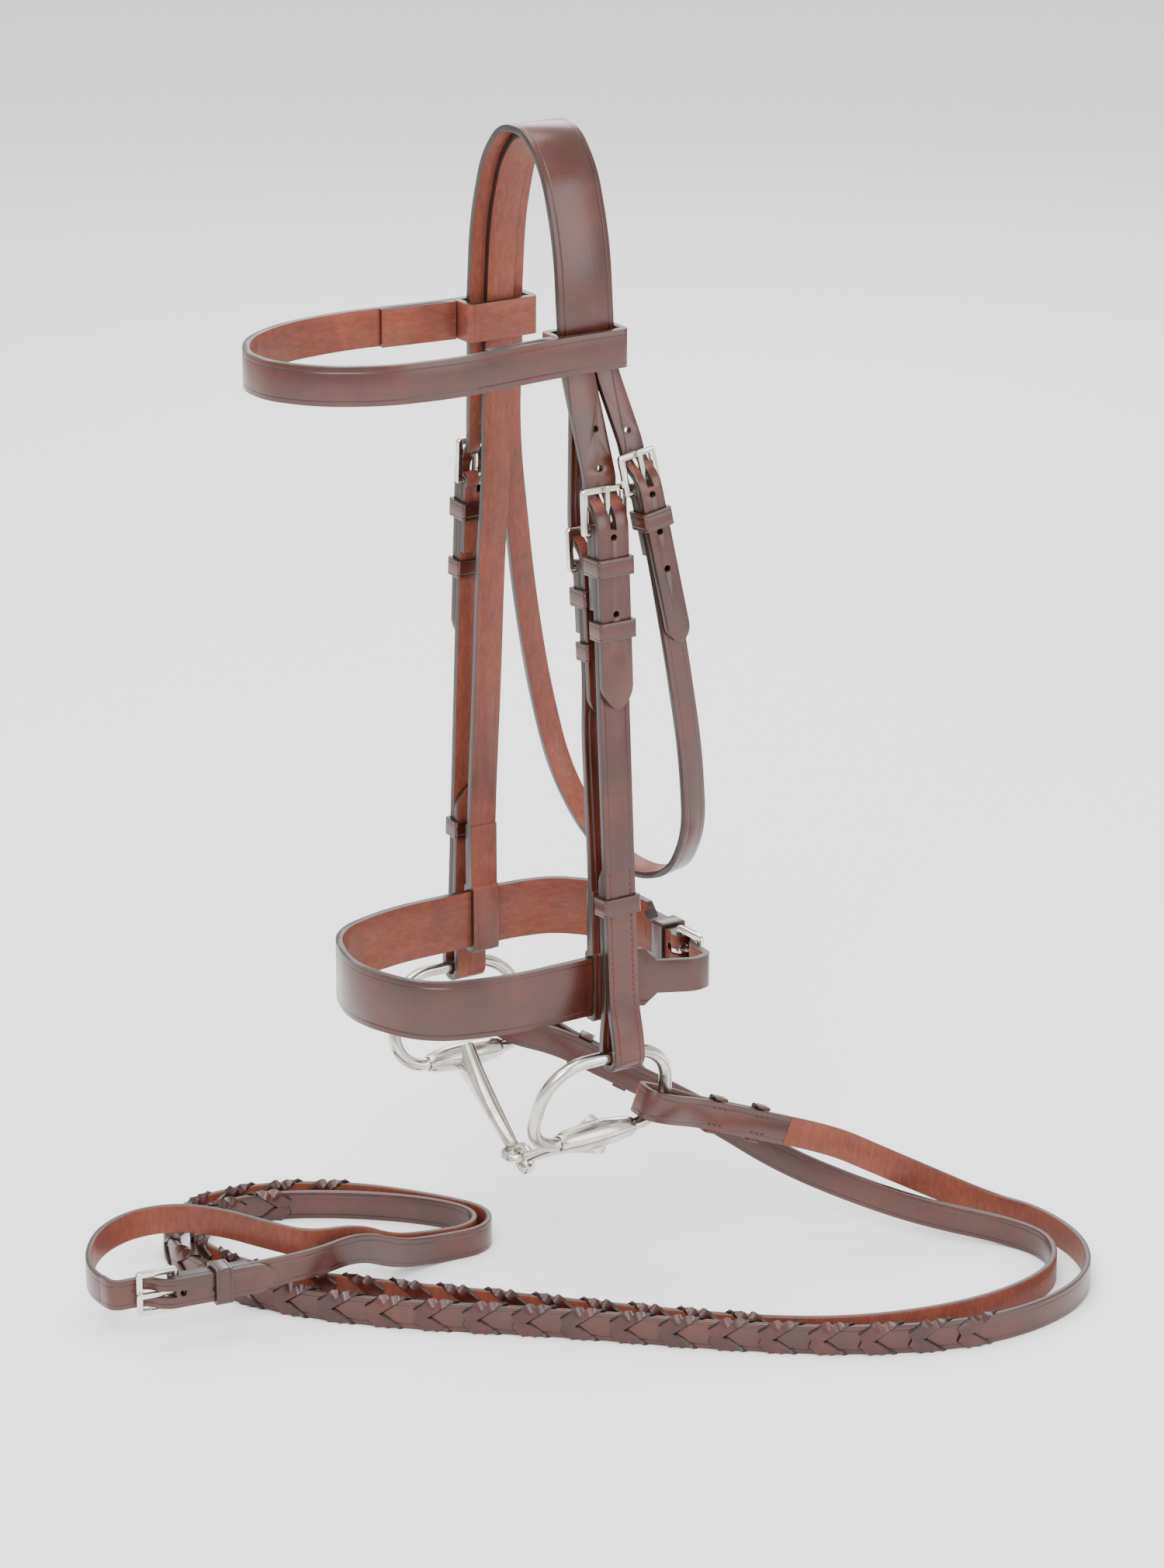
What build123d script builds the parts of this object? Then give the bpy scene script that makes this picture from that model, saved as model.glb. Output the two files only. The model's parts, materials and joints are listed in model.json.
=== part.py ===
import os
from math import atan2, cos, radians, sin, tan

from build123d import *

os.makedirs("parts", exist_ok=True)

# Snaffle bridle, millimetres. +Z is up and the horse looks along -Y; its left, the near side, is +X.
# The origin is the middle of the poll seat: the underside of the straps at the top of the crown.

# ---------- leather ----------
leather = 3.6            # thickness of a headstall strap
rein_leather = 3.2       # thickness of a rein
slip = 0.3               # air between straps that lie on each other
crown_width = 32.0
cheek_width = 18.0
headstrap_width = 16.0
throat_width = 13.0
browband_width = 20.0
noseband_width = 32.0
noseband_tab_width = 18.0
rein_width = 16.0
keeper_wall = 1.8
keeper_length = 9.5
rein_loop_length = 8.0
hole_bore = 3.6          # punched holes in the billets
hole_pitch = 20.0
slot_foot = 1.8          # from a buckle bar's middle up to the end of the hole that its tongue lifts in
first_hole = 1.8         # from a buckle bar's middle down to the next punched hole

# ---------- metal ----------
bar_radius = 1.6         # the buckle bar that the strap is turned round
bar_air = 0.2            # air round that bar
plate = 3.0              # thickness of a buckle frame
rail = 3.5               # width of a frame's side rails and top bar
frame_air = 1.0          # air between a strap's edge and the rail
tongue_size = 2.6
wire_radius = 3.5        # bit ring
barrel_radius = 6.6
barrel_length = 46.0
barrel_air = 0.35
eye_ring_radius = 6.6    # centre eyes of the mouthpiece, to the middle of the wire
eye_wire_radius = 2.3
eye_air = 0.7

# ---------- places ----------
split_z = -103.0         # where the crown divides into its billets
cheek_top = (61.0, -192.0)      # x, z of the cheek buckle bar
cheek_length = 280.0     # from that bar to the ring that hangs in the strap
cheek_lean = 0.06        # outward slope of the cheekpieces
cheek_tab = 106.0        # length turned up inside, to its tip
cheek_billet_tip = 92.0  # below the buckle bar
throat_y = 9.2           # middle of the throat billet at the split
throat_tilt = 9.65       # degrees that the throatlash hangs back
throat_bar = (64.5, 70.0)       # x and distance down the tilted plane
throat_billet_tip = 82.0
browband_z = -101.0
noseband_z = -438.0
headstrap_bar = (46.0, -214.0)
ring_centre_y = -8.5
ring_height = 50.0       # barrel axis to the middle of the ring's top
ring_lean = 14.8         # degrees that a ring's foot is drawn inward
mouth_drop = 35.0        # centre joint below the barrels
rein_floor = -614.0      # what the reins lie on
cheek_reach = 20.0       # opening of a cheek buckle, bar to top bar
throat_reach = 17.0
headstrap_reach = 18.0
noseband_reach = 18.0
rein_reach = 18.0

headstrap_lean = 0.085
headstrap_billet_tip = 78.0
headstrap_chape = 34.0
headstrap_bend = [(48.5, -230.0), (53.0, -300.0), (58.4, -362.0)]   # x, z down the far side, mirrored
throat_lean = 0.10
throat_chape = 34.0
throat_bend = [(73.5, -160.0), (73.5, -215.0), (66.0, -262.0), (44.0, -292.0), (13.0, -304.0)]   # x, -down
billet_straight = 11.0   # length that a billet keeps the crown's line, inside the browband loop
browband_bend = [(57.5, -84.0), (52.5, -122.0), (36.0, -150.0), (12.0, -165.5)]
browband_lap = 42.0
noseband_side = 60.0
noseband_front = -118.0
noseband_bar = (40.0, 62.0)
noseband_corner = [(73.0, 58.0), (75.5, 48.0), (67.5, 31.0), (60.0, 18.0)]
noseband_back = [(-60.0, 18.0), (-55.0, 42.0), (-36.0, 60.0), (-8.0, 64.8)]
noseband_chape = 30.0
noseband_billet_tip = 64.0
tab_shoulder = 22.0      # y where the near end narrows
back_shoulder = 6.0      # x where the far end narrows
hanger_wall = 2.8
hanger_neck = 34.0
cheek_chape = 40.0
stud_place = 48.0        # hook stud above the ring
ring_air = 1.0           # round the ring's wire in the strap
ring_foot_half = 44.0    # ring outline's corners, before they are rounded
ring_top_half = 36.0
ring_top_radius = 26.0
mouth_back = -5.0        # the centre joint lies this far forward of the barrels
canon_root = (6.0, 11.0)
canon_middle = 5.6
canon_end = 3.6
throat_gap = 2.6         # the far throatlash starts this far below the split, inside the browband loop
browband_ease = 1.2
near_rein_hang = 26.0    # degrees round the ring's foot corner to where each rein pulls
far_rein_hang = 20.0
near_rein_pull = (0.087, 0.928, -0.36)
far_rein_pull = (-0.668, 0.638, -0.382)
far_rein_shift = 2.6
rein_gap = {"near": 7.2, "far": 11.0}   # from the turned end's middle to its leather, for the leaning ring
rein_fold = 11.8
rein_end_length = 82.0
rein_tab = 78.0
rein_stud = 50.0
rein_bar = (-7.0, -222.0)
rein_chape = 40.0
rein_billet_tip = 54.0
rein_lift = 23.0         # height of the buckled ends, which cross over the laced grips
lace_width = 5.0
lace_leather = 1.2
lace_air = 0.35
lace_pitch = 26.0
near_lacing = (205.0, 838.0)    # distances along each rein's run on the floor
far_lacing = (271.0, 706.0)
# The reins' routes over the floor, chosen by hand: middle of the strap, from the bit end on.
near_down_points = [(79.0, 166.0, -570.0), (83.0, 200.0, -590.0), (98.0, 229.0, -606.0)]
near_floor_points = [
    (130.0, 242.0, -606.0), (176.0, 237.0, -606.0), (212.0, 210.0, -606.0), (227.0, 166.0, -606.0),
    (223.0, 116.0, -606.0), (196.0, 62.0, -606.0), (150.0, 6.0, -606.0), (96.0, -50.0, -606.0),
    (45.0, -112.0, -606.0), (0.0, -154.0, -606.0), (-50.0, -178.0, -606.0), (-98.0, -180.0, -606.0),
    (-134.0, -152.0, -606.0), (-134.0, -104.0, -606.0), (-106.0, -58.0, -606.0), (-62.0, -25.0, -606.0),
    (-34.0, -12.0, -606.0), (-14.0, -26.0, -606.0),
]
near_rise_points = [(-18.0, -56.0, -606.0), (-12.0, -84.0, -600.0), (-3.0, -113.0, -584.0)]
far_down_points = [(40.0, 129.0, -575.0), (70.0, 157.0, -589.0), (98.0, 186.0, -600.0), (132.0, 219.0, -606.0)]
far_floor_points = [
    (163.0, 224.0, -606.0), (192.0, 203.0, -606.0), (204.0, 165.0, -606.0), (203.0, 122.0, -606.0),
    (188.0, 72.0, -606.0), (158.0, 28.0, -606.0), (93.0, -36.0, -606.0), (56.0, -70.0, -606.0),
    (20.0, -106.0, -606.0), (-20.0, -141.0, -606.0), (-52.0, -162.0, -606.0), (-90.0, -167.0, -606.0),
    (-121.0, -145.0, -606.0), (-121.0, -107.0, -606.0), (-98.0, -68.0, -606.0), (-66.0, -34.0, -606.0),
    (-38.0, -19.5, -606.0), (-20.5, -31.0, -606.0),
]
far_rise_points = [(-25.0, -57.0, -606.0), (-21.0, -84.0, -600.0), (-12.0, -110.0, -584.0), (-16.0, -137.0, -583.0)]
far_lift_points = [
    (-43.0, -150.5, -583.0), (-66.0, -160.5, -583.0), (-86.0, -177.0, -583.0), (-92.0, -202.0, -583.0),
    (-81.0, -228.0, -583.0), (-58.0, -247.0, -583.0), (-36.0, -256.0, -583.0),
]


half_leather = leather / 2
tongue_n = bar_radius + 0.15 + tongue_size / 2


def bend_radii(points, share=0.45):
    """The radius at each inner point: as large as the shorter run beside it allows."""
    radii = []
    for before, corner, after in zip(points, points[1:], points[2:]):
        inward = Vector(*corner) - Vector(*before)
        outward = Vector(*after) - Vector(*corner)
        turn = radians(inward.get_angle(outward))
        radii.append(share * min(inward.length, outward.length) / tan(turn / 2))
    return radii


def beside(points, distance):
    """The points of a flat polyline moved to its left by distance, mitred at the corners."""
    moved = []
    for index, point in enumerate(points):
        here = Vector(*point)
        before = Vector(*points[max(index - 1, 0)])
        after = Vector(*points[min(index + 1, len(points) - 1)])
        first = (here - before) if index > 0 else (after - here)
        second = (after - here) if index < len(points) - 1 else (here - before)
        mean = (first.normalized() + second.normalized()).normalized()
        left = Vector(-mean.Y, mean.X)
        stretch = 1 / left.dot(Vector(-first.normalized().Y, first.normalized().X))
        place = here + left * distance * stretch
        moved.append((place.X, place.Y))
    return moved


def edge_view(seat):
    """The plane that shows a strap's thickness: x along the strap, y out of its face."""
    return Plane(origin=seat.origin, x_dir=seat.x_dir, z_dir=seat.y_dir * -1)


def cross_view(seat, along, out=0.0):
    """The plane across a strap at a distance along it: x across its width, y out of its face."""
    return Plane(origin=seat.from_local_coords((along, 0, out)), x_dir=seat.y_dir, z_dir=seat.x_dir)


def bend_strap(plane, points, width, thickness=leather, share=0.45, mode=Mode.ADD):
    """A strap that bends in one plane: its edge view traced and extruded to its width."""
    with BuildSketch(plane) as profile:
        with BuildLine():
            FilletPolyline(*points, radius=bend_radii(points, share))
        trace(line_width=thickness)
    extrude(profile.sketch, amount=width / 2, both=True, mode=mode)


def trim_tip(seat, out, tip, way, width, thickness=leather):
    """Cuts the end of one layer of a strap to a rounded point."""
    with BuildSketch(seat.offset(out)) as profile:
        with Locations((tip + way * (2 - 0.375 * width), 0)):
            Rectangle(0.75 * width + 4, width + 2)
        shoulder = tip - way * 0.75 * width
        with BuildLine():
            Polyline((shoulder, -width / 2), (shoulder - way * 3, 0), (shoulder, width / 2))
            ThreePointArc((shoulder, width / 2), (tip - way * 0.22 * width, width * 0.32), (tip, 0))
            ThreePointArc((tip, 0), (tip - way * 0.22 * width, -width * 0.32), (shoulder, -width / 2))
        make_face(mode=Mode.SUBTRACT)
    extrude(profile.sketch, amount=thickness / 2 + 0.1, both=True, mode=Mode.SUBTRACT)


def punch(seat, places, out, depth=leather):
    """Round holes through one layer of a strap."""
    with BuildSketch(seat.offset(out)) as profile:
        with Locations(*[(place, 0) for place in places]):
            Circle(hole_bore / 2)
    extrude(profile.sketch, amount=depth / 2 + 0.1, both=True, mode=Mode.SUBTRACT)


def tongue_slot(seat, start, end, low, high):
    """The slot that a buckle tongue moves in."""
    with BuildSketch(seat.offset((low + high) / 2)) as profile:
        with Locations(((start + end) / 2, 0)):
            Rectangle(end - start, tongue_size + 1.0)
    extrude(profile.sketch, amount=(high - low) / 2, both=True, mode=Mode.SUBTRACT)


def billet_slot(seat, reach, thickness=leather):
    """The worn tongue hole where a billet rises through its buckle."""
    tongue_slot(seat, -reach - 0.4, -slot_foot, -8, strap_levels(thickness)["high"] + 1)


def chape(seat, width, length, thickness=leather):
    """The strap end turned round a buckle bar and sewn back on itself, slotted for the tongue."""
    out = strap_levels(thickness)
    with BuildSketch(edge_view(seat)) as profile:
        Circle(out["fold"])
        with Locations(((length + 2) / 2, (out["body"] + out["turn"]) / 2)):
            Rectangle(length - 2, 2 * thickness)
        Circle(bar_radius + bar_air, mode=Mode.SUBTRACT)
    extrude(profile.sketch, amount=width / 2, both=True)
    tongue_slot(seat, -out["fold"] - 1, out["fold"] + 2.6, -out["fold"] - 1, out["fold"] + 1)


def strap_levels(thickness=leather):
    """Heights above the middle of a buckle bar of the layers that lie there."""
    fold = bar_radius + bar_air + 0.8 * thickness
    body = fold - thickness / 2
    return {
        "fold": fold,
        "body": body,
        "turn": body - thickness,
        "billet": fold + slip + thickness / 2,
        "under": -(plate / 2 + slip + thickness / 2),
        "low": body - 1.5 * thickness,
        "high": fold + slip + thickness,
    }


def billet_rise(reach, thickness=leather, clear=1.9):
    """A billet's edge view at a buckle: under the top bar, up through the frame, over the strap."""
    out = strap_levels(thickness)
    return [(-reach + clear, out["under"]), (-reach + 10.8, out["billet"])]


def buckle_frame(seat, width, reach):
    """A flat square buckle: three rails and the bar that the strap is turned round."""
    half = width / 2 + frame_air + rail
    outer = reach + rail + bar_radius
    with BuildPart() as frame:
        with BuildSketch(seat) as profile:
            with Locations((bar_radius - outer / 2, 0)):
                RectangleRounded(outer, 2 * half, 2.4)
            with Locations(((bar_radius + 1 - reach) / 2, 0)):
                Rectangle(reach + bar_radius + 1, 2 * (half - rail), mode=Mode.SUBTRACT)
        extrude(profile.sketch, amount=plate / 2, both=True)
        chamfer(frame.faces().filter_by(lambda face: abs(face.normal_at().dot(seat.z_dir)) > 0.99).edges(), 0.55)
        with BuildSketch(edge_view(seat)) as profile:
            Circle(bar_radius)
        extrude(profile.sketch, amount=half - rail / 2, both=True)
    return frame.part


def buckle_tongue(seat, reach):
    """The tongue: an eye round the bar and a shank that lies on the top bar."""
    length = reach + rail + 0.8
    with BuildPart() as tongue:
        with BuildSketch(edge_view(seat)) as profile:
            Circle(tongue_n + tongue_size / 2)
            with Locations((-length / 2, tongue_n)):
                Rectangle(length, tongue_size)
            Circle(bar_radius + 0.15, mode=Mode.SUBTRACT)
        extrude(profile.sketch, amount=tongue_size / 2, both=True)
        tip = tongue.faces().sort_by(Axis(seat.origin, seat.x_dir))[0]
        fillet(tip.edges(), 0.8)
    return tongue.part


def keeper(seat, place, width, low, high, length=keeper_length):
    """A leather loop round all the layers between the heights low and high."""
    tall = high - low + 2 * slip
    wide = width + 2 * slip
    with BuildPart() as loop:
        with BuildSketch(cross_view(seat, place, (low + high) / 2)) as profile:
            RectangleRounded(wide + 2 * keeper_wall, tall + 2 * keeper_wall, 1.6)
            Rectangle(wide, tall, mode=Mode.SUBTRACT)
        extrude(profile.sketch, amount=length / 2, both=True)
    return loop.part


def sewn_loop(seat, place, width, low, high, length, ends):
    """A loop open at the strap's face: its two ends are sewn at the edges, at the height of ends."""
    with BuildPart() as loop:
        add(keeper(seat, place, width, low, high, length))
        with BuildSketch(cross_view(seat, place, ends + width / 2)) as profile:
            Rectangle(2 * width, width)
        extrude(profile.sketch, amount=length, both=True, mode=Mode.SUBTRACT)
    return loop.part


def hook_stud(seat, place, out):
    """A hook stud: its shank through the strap end and its hook lying along it."""
    with BuildPart() as stud:
        with BuildSketch(seat.offset(out)) as profile:
            with Locations((place, 0)):
                Circle(1.5)
        extrude(profile.sketch, amount=-(leather + slip + 0.9))
        hooked = [(place, 0.0), (place, -(leather + slip + 1.9)), (place - 9.0, -(leather + slip + 1.9))]
        with BuildSketch(edge_view(seat.offset(out))) as profile:
            with BuildLine():
                FilletPolyline(*hooked, radius=1.7)
            trace(line_width=1.9)
        extrude(profile.sketch, amount=1.3, both=True)
    return stud.part


def keep(part, name):
    """Labels a finished piece and writes it."""
    part.label = name
    export_step(part, f"parts/{name}.step")


def both_sides(part, name):
    """Keeps a near side piece and its mirror image on the far side."""
    keep(part, f"near_{name}")
    with BuildPart() as opposite:
        add(part.mirror(Plane.YZ))
    keep(opposite.part, f"far_{name}")


# ---------- where the straps run ----------
# Half of the inner face of the headstrap over the poll, from the top down the near side (x, z).
seat_half = [(9.0, 0.0), (23.4, -15.8), (34.0, -49.0), (38.6, split_z)]
seat_line = [(-x, z) for x, z in reversed(seat_half)] + seat_half
headstrap_line = beside(seat_line, half_leather)
crown_line = beside(seat_line, half_leather + leather + slip)
crown_side = crown_line[-1]

level = strap_levels()
rein_level = strap_levels(rein_leather)



def strap_seat(origin, along, out):
    """A buckle's own plane: x down the strap from its bar, y across it, z out of its face."""
    along = Vector(*along).normalized()
    out = Vector(*out)
    return Plane(origin=origin, x_dir=along, z_dir=(out - along * out.dot(along)).normalized())


def flat_point(seat, plane, along, out):
    """A point of a strap's edge view, carried into another plane that shows the same edge."""
    place = plane.to_local_coords(seat.from_local_coords((along, 0, out)))
    return (place.X, place.Y)


cheek_seat = strap_seat((cheek_top[0], 0, cheek_top[1]), (cheek_lean, 0, -1), (1, 0, 0))
headstrap_seat = strap_seat((headstrap_bar[0], 0, headstrap_bar[1]), (headstrap_lean, 0, -1), (1, 0, 0))
throat_down = Vector(0, sin(radians(throat_tilt)), -cos(radians(throat_tilt)))
throat_plane = Plane(origin=(0, throat_y, split_z), x_dir=(1, 0, 0), z_dir=Vector(1, 0, 0).cross(throat_down * -1))
throat_seat = strap_seat(
    Vector(throat_bar[0], throat_y, split_z) + throat_down * throat_bar[1],
    Vector(throat_lean, 0, 0) + throat_down,
    (1, 0, 0),
)
noseband_seat = strap_seat((noseband_bar[0], noseband_bar[1], noseband_z), (-1, 0, 0), (0, 1, 0))

# ---------- headpiece: crown, two cheek billets and the near throat billet ----------
crown_end = Vector(crown_line[-1][0], 0, split_z)
side_slope = (seat_half[-1][0] - seat_half[-2][0]) / (seat_half[-2][1] - seat_half[-1][1])


def side_x(z):
    """How far out the inner face of the headstrap is at a height near the browband."""
    return seat_half[-1][0] + side_slope * (split_z - z)


def billet_lead(seat, y):
    """The end of the crown in a billet's edge view, and a point below it in the crown's own line."""
    top = seat.to_local_coords(crown_end + Vector(0, y, 0))
    low = seat.to_local_coords(crown_end + Vector(side_slope * billet_straight, y, -billet_straight))
    return top, low


lead, lower = billet_lead(cheek_seat, 0)
cheek_shift = (crown_width - cheek_width) / 2
cheek_half = cheek_width / 2
with BuildPart() as cheek_billet:
    bend_strap(
        edge_view(cheek_seat),
        [(lead.X - 4, lead.Z - 0.1), (lower.X, lower.Z), (-cheek_reach - 8, level["under"])]
        + billet_rise(cheek_reach) + [(cheek_billet_tip, level["billet"])],
        crown_width + 8,
    )
    shoulder = cheek_billet_tip - 0.75 * cheek_width
    with BuildSketch(cheek_seat):
        with BuildLine():
            Polyline(
                (shoulder, cheek_half), (-cheek_reach - 8, cheek_half),
                (lead.X, cheek_half - cheek_shift), (lead.X - 6, cheek_half - cheek_shift),
                (lead.X - 6, -cheek_half - cheek_shift), (lead.X, -cheek_half - cheek_shift),
                (-cheek_reach - 8, -cheek_half), (shoulder, -cheek_half),
            )
            nose = cheek_billet_tip - 0.22 * cheek_width
            ThreePointArc((shoulder, -cheek_half), (nose, -0.32 * cheek_width), (cheek_billet_tip, 0))
            ThreePointArc((cheek_billet_tip, 0), (nose, 0.32 * cheek_width), (shoulder, cheek_half))
        make_face()
    extrude(amount=40, both=True, mode=Mode.INTERSECT)
    punch(cheek_seat, [first_hole, first_hole + 2 * hole_pitch], level["billet"])
    punch(cheek_seat, [-cheek_reach - 12, -cheek_reach - 12 - hole_pitch], level["under"], 3 * leather)
    billet_slot(cheek_seat, cheek_reach)

lead, lower = billet_lead(throat_seat, throat_y)
with BuildPart() as throat_billet:
    bend_strap(
        edge_view(throat_seat),
        [(lead.X - 4, lead.Z - 0.1), (lower.X, lower.Z), (-throat_reach - 8, level["under"])]
        + billet_rise(throat_reach) + [(throat_billet_tip, level["billet"])],
        throat_width,
    )
    trim_tip(throat_seat, level["billet"], throat_billet_tip, 1, throat_width)
    punch(throat_seat, [first_hole + step * hole_pitch for step in range(3)], level["billet"])
    punch(throat_seat, [-throat_reach - 14], level["under"], 3 * leather)
    billet_slot(throat_seat, throat_reach)

with BuildPart() as headpiece:
    bend_strap(Plane.XZ, crown_line, crown_width)
    add(cheek_billet.part)
    add(throat_billet.part)
    add(cheek_billet.part.mirror(Plane.YZ))
keep(headpiece.part, "headpiece")

# ---------- throatlash: from the far side of the crown, under the jaw, to its near buckle ----------
throat_start = flat_point(throat_seat, throat_plane, 10, level["body"])
throat_next = flat_point(throat_seat, throat_plane, throat_chape + 6, level["body"])
far_throat = (-crown_line[-1][0] - 0.2, -throat_gap)
with BuildPart() as throatlash:
    bend_strap(
        throat_plane,
        [throat_start, throat_next] + throat_bend
        + [(-x, y) for x, y in reversed(throat_bend)]
        + [(-throat_bar[0], -throat_bar[1]), (far_throat[0] - side_slope * billet_straight, -billet_straight), far_throat],
        throat_width,
    )
    chape(throat_seat, throat_width, throat_chape)
keep(throatlash.part, "throatlash")

# ---------- browband ----------
band_out = side_x(browband_z - browband_width / 2) + 2 * leather + slip + 1.8
band_in = side_x(browband_z + browband_width / 2) - slip - 0.3
loop_half = crown_width / 2 + slip + browband_ease
band_line = [(band_out + half_leather, loop_half - 6), (band_out + half_leather, -loop_half - 4)] + browband_bend
front_line = band_line + [(-x, y) for x, y in reversed(band_line)]
with BuildPart() as browband:
    bend_strap(Plane.XY.offset(browband_z), front_line, browband_width)
    for side in (1, -1):
        with BuildSketch(Plane.XY.offset(browband_z)):
            with Locations((side * (band_in + band_out) / 2, 0)):
                RectangleRounded(band_out - band_in + 2 * leather, 2 * loop_half + 2 * leather, leather)
                Rectangle(band_out - band_in, 2 * loop_half, mode=Mode.SUBTRACT)
        extrude(amount=browband_width / 2, both=True)
    lap = beside([band_line[1], browband_bend[0]], -leather)
    lap_start = Vector(*lap[0])
    lap_end = lap_start + (Vector(*lap[1]) - lap_start).normalized() * browband_lap
    for side in (1, -1):
        with BuildSketch(Plane.XY.offset(browband_z)):
            with BuildLine():
                Line((side * lap_start.X, lap_start.Y), (side * lap_end.X, lap_end.Y))
            trace(line_width=leather + 0.02)
        extrude(amount=browband_width / 2, both=True)
keep(browband.part, "browband")

# ---------- noseband headstrap: over the poll under the crown, a hanger on each side ----------
hanger_x = noseband_side
hanger_top = noseband_z + noseband_width / 2 + slip + hanger_wall
hanger_neck_top = hanger_top + hanger_neck


def hanger(side):
    """The loop that the noseband passes through, with its sewn neck."""
    with BuildSketch(Plane.XZ) as profile:
        with Locations((side * hanger_x, noseband_z)):
            RectangleRounded(
                leather + 2 * slip + 2 * hanger_wall, noseband_width + 2 * slip + 2 * hanger_wall, hanger_wall * 0.9
            )
            Rectangle(leather + 2 * slip, noseband_width + 2 * slip, mode=Mode.SUBTRACT)
        with Locations((side * hanger_x, hanger_top + hanger_neck / 2 - 0.5)):
            Rectangle(2 * hanger_wall + 0.6, hanger_neck + 1)
    extrude(profile.sketch, amount=headstrap_width / 2, both=True)


headstrap_low = headstrap_bend + [(hanger_x, hanger_neck_top - 6)]
head_lead = headstrap_seat.to_local_coords(Vector(headstrap_line[-1][0], 0, headstrap_line[-1][1]))
with BuildPart() as noseband_headstrap:
    far_part = [(-x, z) for x, z in reversed(headstrap_low)]
    bend_strap(Plane.XZ, far_part + [(-headstrap_line[-1][0] - 2.6, -190.0)] + headstrap_line, headstrap_width)
    bend_strap(
        edge_view(headstrap_seat),
        [(head_lead.X - 4, head_lead.Z - 0.2), (head_lead.X + 14, head_lead.Z), (-headstrap_reach - 8, level["under"])]
        + billet_rise(headstrap_reach) + [(headstrap_billet_tip, level["billet"])],
        headstrap_width,
    )
    trim_tip(headstrap_seat, level["billet"], headstrap_billet_tip, 1, headstrap_width)
    punch(headstrap_seat, [first_hole, first_hole + 2 * hole_pitch], level["billet"])
    punch(headstrap_seat, [-headstrap_reach - 14, -headstrap_reach - 14 - hole_pitch], level["under"], 3 * leather)
    billet_slot(headstrap_seat, headstrap_reach)
    hanger(-1)
keep(noseband_headstrap.part, "noseband_headstrap")

with BuildPart() as headstrap_cheek:
    start = flat_point(headstrap_seat, Plane.XZ, 10, level["body"])
    straight = flat_point(headstrap_seat, Plane.XZ, headstrap_chape + 26, level["body"])
    bend_strap(Plane.XZ, [start, straight] + headstrap_low[1:], headstrap_width)
    chape(headstrap_seat, headstrap_width, headstrap_chape)
    hanger(1)
keep(headstrap_cheek.part, "noseband_headstrap_cheek")

# ---------- noseband: one wide strap round the nose, buckled behind the jaw ----------
nose_plane = Plane.XY.offset(noseband_z)
nose_tab = [flat_point(noseband_seat, nose_plane, s, n) for s, n in
            [(noseband_billet_tip, level["billet"])] + billet_rise(noseband_reach)[::-1]]
nose_tab.append(flat_point(noseband_seat, nose_plane, -noseband_reach - 7, level["under"]))
nose_end = flat_point(noseband_seat, nose_plane, 8, level["body"])
nose_front = [(noseband_side, noseband_front / 2), (0.78 * noseband_side, 0.85 * noseband_front)]
nose_line = nose_tab + noseband_corner + nose_front
nose_line += [(0, noseband_front)] + [(-x, y) for x, y in reversed(nose_front)]
nose_line += noseband_back + [nose_end]
spare = (noseband_width - noseband_tab_width) / 2
with BuildPart() as noseband:
    bend_strap(nose_plane, nose_line, noseband_width)
    chape(noseband_seat, noseband_width, noseband_chape)
    trim_tip(noseband_seat, level["billet"], noseband_billet_tip, 1, noseband_tab_width, leather)
    punch(noseband_seat, [first_hole + step * hole_pitch for step in range(3)], level["billet"])
    billet_slot(noseband_seat, noseband_reach)
    for up in (1, -1):
        edge = up * noseband_tab_width / 2
        top = up * (noseband_width / 2 + 1)
        with BuildSketch(Plane(origin=(noseband_side - 8, 0, noseband_z), x_dir=(0, 1, 0), z_dir=(1, 0, 0))):
            with BuildLine():
                Polyline((tab_shoulder, top), (tab_shoulder + spare, edge), (90, edge), (90, top), close=True)
            make_face()
        extrude(amount=40, mode=Mode.SUBTRACT)
        with BuildSketch(Plane(origin=(0, noseband_bar[1] - 12, noseband_z), x_dir=(1, 0, 0), z_dir=(0, -1, 0))):
            with BuildLine():
                Polyline((back_shoulder, top), (back_shoulder + spare, edge), (90, edge), (90, top), close=True)
            make_face()
        extrude(amount=-30, mode=Mode.SUBTRACT)
        with BuildSketch(noseband_seat.offset(level["billet"] + 0.1)):
            with Locations((noseband_billet_tip / 2, edge + top / 2)):
                Rectangle(noseband_billet_tip + 60, abs(top))
        extrude(amount=leather / 2 + 0.2, both=True, mode=Mode.SUBTRACT)
keep(noseband.part, "noseband")

# ---------- cheekpieces: buckle end above, turned round the bit ring below ----------
inner_n = level["body"] - leather - slip
fold_n = (level["body"] + inner_n) / 2
fold_half = wire_radius + ring_air + half_leather
cheek_path = [
    (10, level["body"]), (cheek_length - 28, level["body"]), (cheek_length - 8, fold_n + fold_half),
    (cheek_length + fold_half, fold_n + fold_half), (cheek_length + fold_half, fold_n - fold_half),
    (cheek_length - 8, fold_n - fold_half), (cheek_length - 28, inner_n), (cheek_length - cheek_tab, inner_n),
]
with BuildPart() as cheekpiece:
    bend_strap(edge_view(cheek_seat), cheek_path, cheek_width, share=0.48)
    chape(cheek_seat, cheek_width, cheek_chape)
    trim_tip(cheek_seat, inner_n, cheek_length - cheek_tab, -1, cheek_width)
    with BuildSketch(cheek_seat.offset(inner_n)):
        with Locations((cheek_length - stud_place, 0)):
            SlotOverall(9, 3.6)
    extrude(amount=half_leather + 0.1, both=True, mode=Mode.SUBTRACT)
both_sides(cheekpiece.part, "cheekpiece")

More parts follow.
